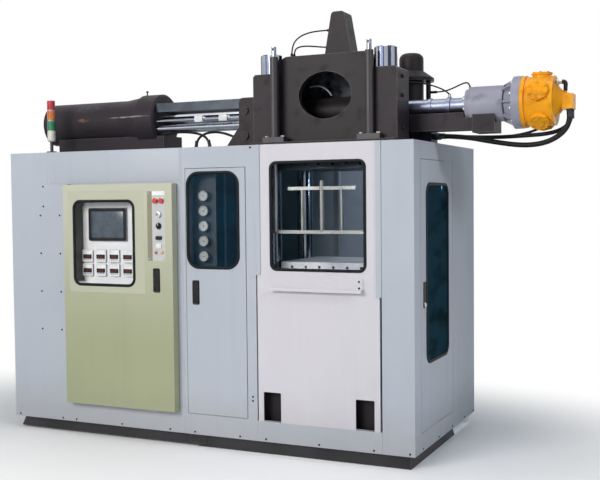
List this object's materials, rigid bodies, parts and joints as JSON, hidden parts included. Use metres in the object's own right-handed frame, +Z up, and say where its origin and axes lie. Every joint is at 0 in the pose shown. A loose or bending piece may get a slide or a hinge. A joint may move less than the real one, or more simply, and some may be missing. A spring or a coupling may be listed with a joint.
{
  "type": "rubber injection moulding machine",
  "caption": "Cabinet-built rubber injection press with a lifting front door, operator console door, horizontal injection cylinder on top and a screw extruder turned by a hydraulic motor",
  "frame": {"origin": "on the floor below the press axis", "axes": "+X along the machine towards the extruder motor, +Y from the operator's side to the back, +Z up"},
  "size_m": [3.69, 1.378, 2.698],
  "materials": {
    "cabinet_paint": "pale lavender-grey powder coat",
    "door_paint": "off-white powder coat",
    "console_paint": "olive-yellow textured paint",
    "machine_paint": "dark brown-grey gloss enamel",
    "base_paint": "dark grey enamel",
    "bright_steel": "hard chrome, ground",
    "machined_steel": "turned and milled steel",
    "cast_housing": "silver enamel on a casting",
    "motor_yellow": "amber-yellow enamel",
    "tinted_glass": "smooth tinted acrylic",
    "instrument_plastic": "white instrument bezels with black displays",
    "black_plastic": "moulded black plastic",
    "red_plastic": "moulded red plastic",
    "lens_plastic": "coloured lenses on a dark foot",
    "switch_plate": "grey switch plate",
    "hose_rubber": "black wrapped rubber"
  },
  "bodies": {
    "machine": {"base_frame": "base_paint", "front_panel_left": "cabinet_paint", "gauge_bay_panel": "cabinet_paint", "press_bay_panels": "cabinet_paint", "side_panels": "cabinet_paint", "end_and_rear_panels": "cabinet_paint", "top_panel": "cabinet_paint", "door_guides": "cabinet_paint", "electrical_box": "cabinet_paint", "gauge_board": "machine_paint", "power_pack": "machine_paint", "press_bed": "machine_paint", "tie_bars": "bright_steel", "crosshead": "machine_paint", "rear_columns": "machine_paint", "upper_heating_plate": "machined_steel", "lift_cylinders": "machine_paint", "tower_cover": "machine_paint", "injection_cylinder": "machine_paint", "tie_beams": "machine_paint", "guide_rods": "bright_steel", "injection_bracket": "machine_paint", "injection_chamber": "machined_steel", "extruder_barrel": "machined_steel", "bearing_housing": "cast_housing", "hydraulic_motor": "motor_yellow", "extruder_support": "machine_paint", "hose_manifold": "machined_steel", "signal_tower": "lens_plastic", "motor_hose_a": "hose_rubber", "motor_hose_b": "hose_rubber", "motor_hose_c": "hose_rubber", "barrel_cable_a": "hose_rubber", "barrel_cable_b": "hose_rubber", "tower_cable_a": "hose_rubber", "tower_cable_b": "hose_rubber", "cylinder_hose": "hose_rubber", "bracket_hose": "hose_rubber"},
    "clamp": {"clamp_ram": "bright_steel", "moving_platen": "machined_steel"},
    "lift_frame": {"lift_frame": "bright_steel"},
    "injection_piston": {"injection_piston": "bright_steel"},
    "screw": {"plasticizing_screw": "machined_steel"},
    "control_door": {"control_door": "console_paint", "console_tray": "console_paint", "console_instruments": "instrument_plastic", "switch_strip": "switch_plate"},
    "red_button_left": {"red_button_left": "red_plastic"},
    "red_button_right": {"red_button_right": "red_plastic"},
    "selector": {"selector_knob": "black_plastic"},
    "rocker": {"rocker_switch": "black_plastic"},
    "control_latch": {"control_latch": "black_plastic"},
    "gauge_door": {"gauge_door": "cabinet_paint", "gauge_door_pane": "tinted_glass"},
    "gauge_latch": {"gauge_latch": "black_plastic"},
    "side_door": {"side_door": "cabinet_paint", "side_door_pane": "tinted_glass"},
    "side_latch": {"side_latch": "black_plastic"},
    "front_door": {"front_door": "door_paint", "front_door_pane": "tinted_glass"}
  },
  "joints": [
    {"name": "clamp_slide", "type": "slide", "parent": "machine", "child": "clamp", "axis": [0, 0, 1], "range_m": [0, 0.36]},
    {"name": "lift_slide", "type": "slide", "parent": "machine", "child": "lift_frame", "axis": [0, 0, 1], "range_m": [0, 0.11]},
    {"name": "injection_slide", "type": "slide", "parent": "machine", "child": "injection_piston", "axis": [1, 0, 0], "range_m": [0, 0.22]},
    {"name": "screw_spin", "type": "hinge", "parent": "machine", "child": "screw", "pos_m": [0, 0, 2.092], "axis": [1, 0, 0], "continuous": true},
    {"name": "control_door_hinge", "type": "hinge", "parent": "machine", "child": "control_door", "pos_m": [-1.7967, -0.42, 0.94], "axis": [0, 0, -1], "range_deg": [0, 100]},
    {"name": "red_button_left_push", "type": "slide", "parent": "control_door", "child": "red_button_left", "axis": [0, 1, 0], "range_m": [0, 0.005], "stiffness_N_per_m": 400},
    {"name": "red_button_right_push", "type": "slide", "parent": "control_door", "child": "red_button_right", "axis": [0, 1, 0], "range_m": [0, 0.005], "stiffness_N_per_m": 400},
    {"name": "selector_turn", "type": "hinge", "parent": "control_door", "child": "selector", "pos_m": [-1.061, -0.46, 1.392], "axis": [0, 1, 0], "range_deg": [-45, 45]},
    {"name": "rocker_tip", "type": "hinge", "parent": "control_door", "child": "rocker", "pos_m": [-1.061, -0.46, 1.317], "axis": [1, 0, 0], "range_deg": [-9, 9]},
    {"name": "control_latch_swing", "type": "hinge", "parent": "control_door", "child": "control_latch", "pos_m": [-1.085, -0.454, 1.0872], "axis": [-1, 0, 0], "range_deg": [0, 35]},
    {"name": "gauge_door_hinge", "type": "hinge", "parent": "machine", "child": "gauge_door", "pos_m": [-0.491, -0.39, 0.98], "axis": [0, 0, 1], "range_deg": [0, 105]},
    {"name": "gauge_latch_swing", "type": "hinge", "parent": "gauge_door", "child": "gauge_latch", "pos_m": [-0.835, -0.394, 1.0142], "axis": [-1, 0, 0], "range_deg": [0, 35]},
    {"name": "side_door_hinge", "type": "hinge", "parent": "machine", "child": "side_door", "pos_m": [0.58, 0.367, 0.98], "axis": [0, 0, 1], "range_deg": [0, 105]},
    {"name": "side_latch_swing", "type": "hinge", "parent": "side_door", "child": "side_latch", "pos_m": [0.584, -0.21, 1.0272], "axis": [0, -1, 0], "range_deg": [0, 35]},
    {"name": "front_door_lift", "type": "slide", "parent": "machine", "child": "front_door", "axis": [0, 0, 1], "range_m": [0, 0.65]}
  ]
}
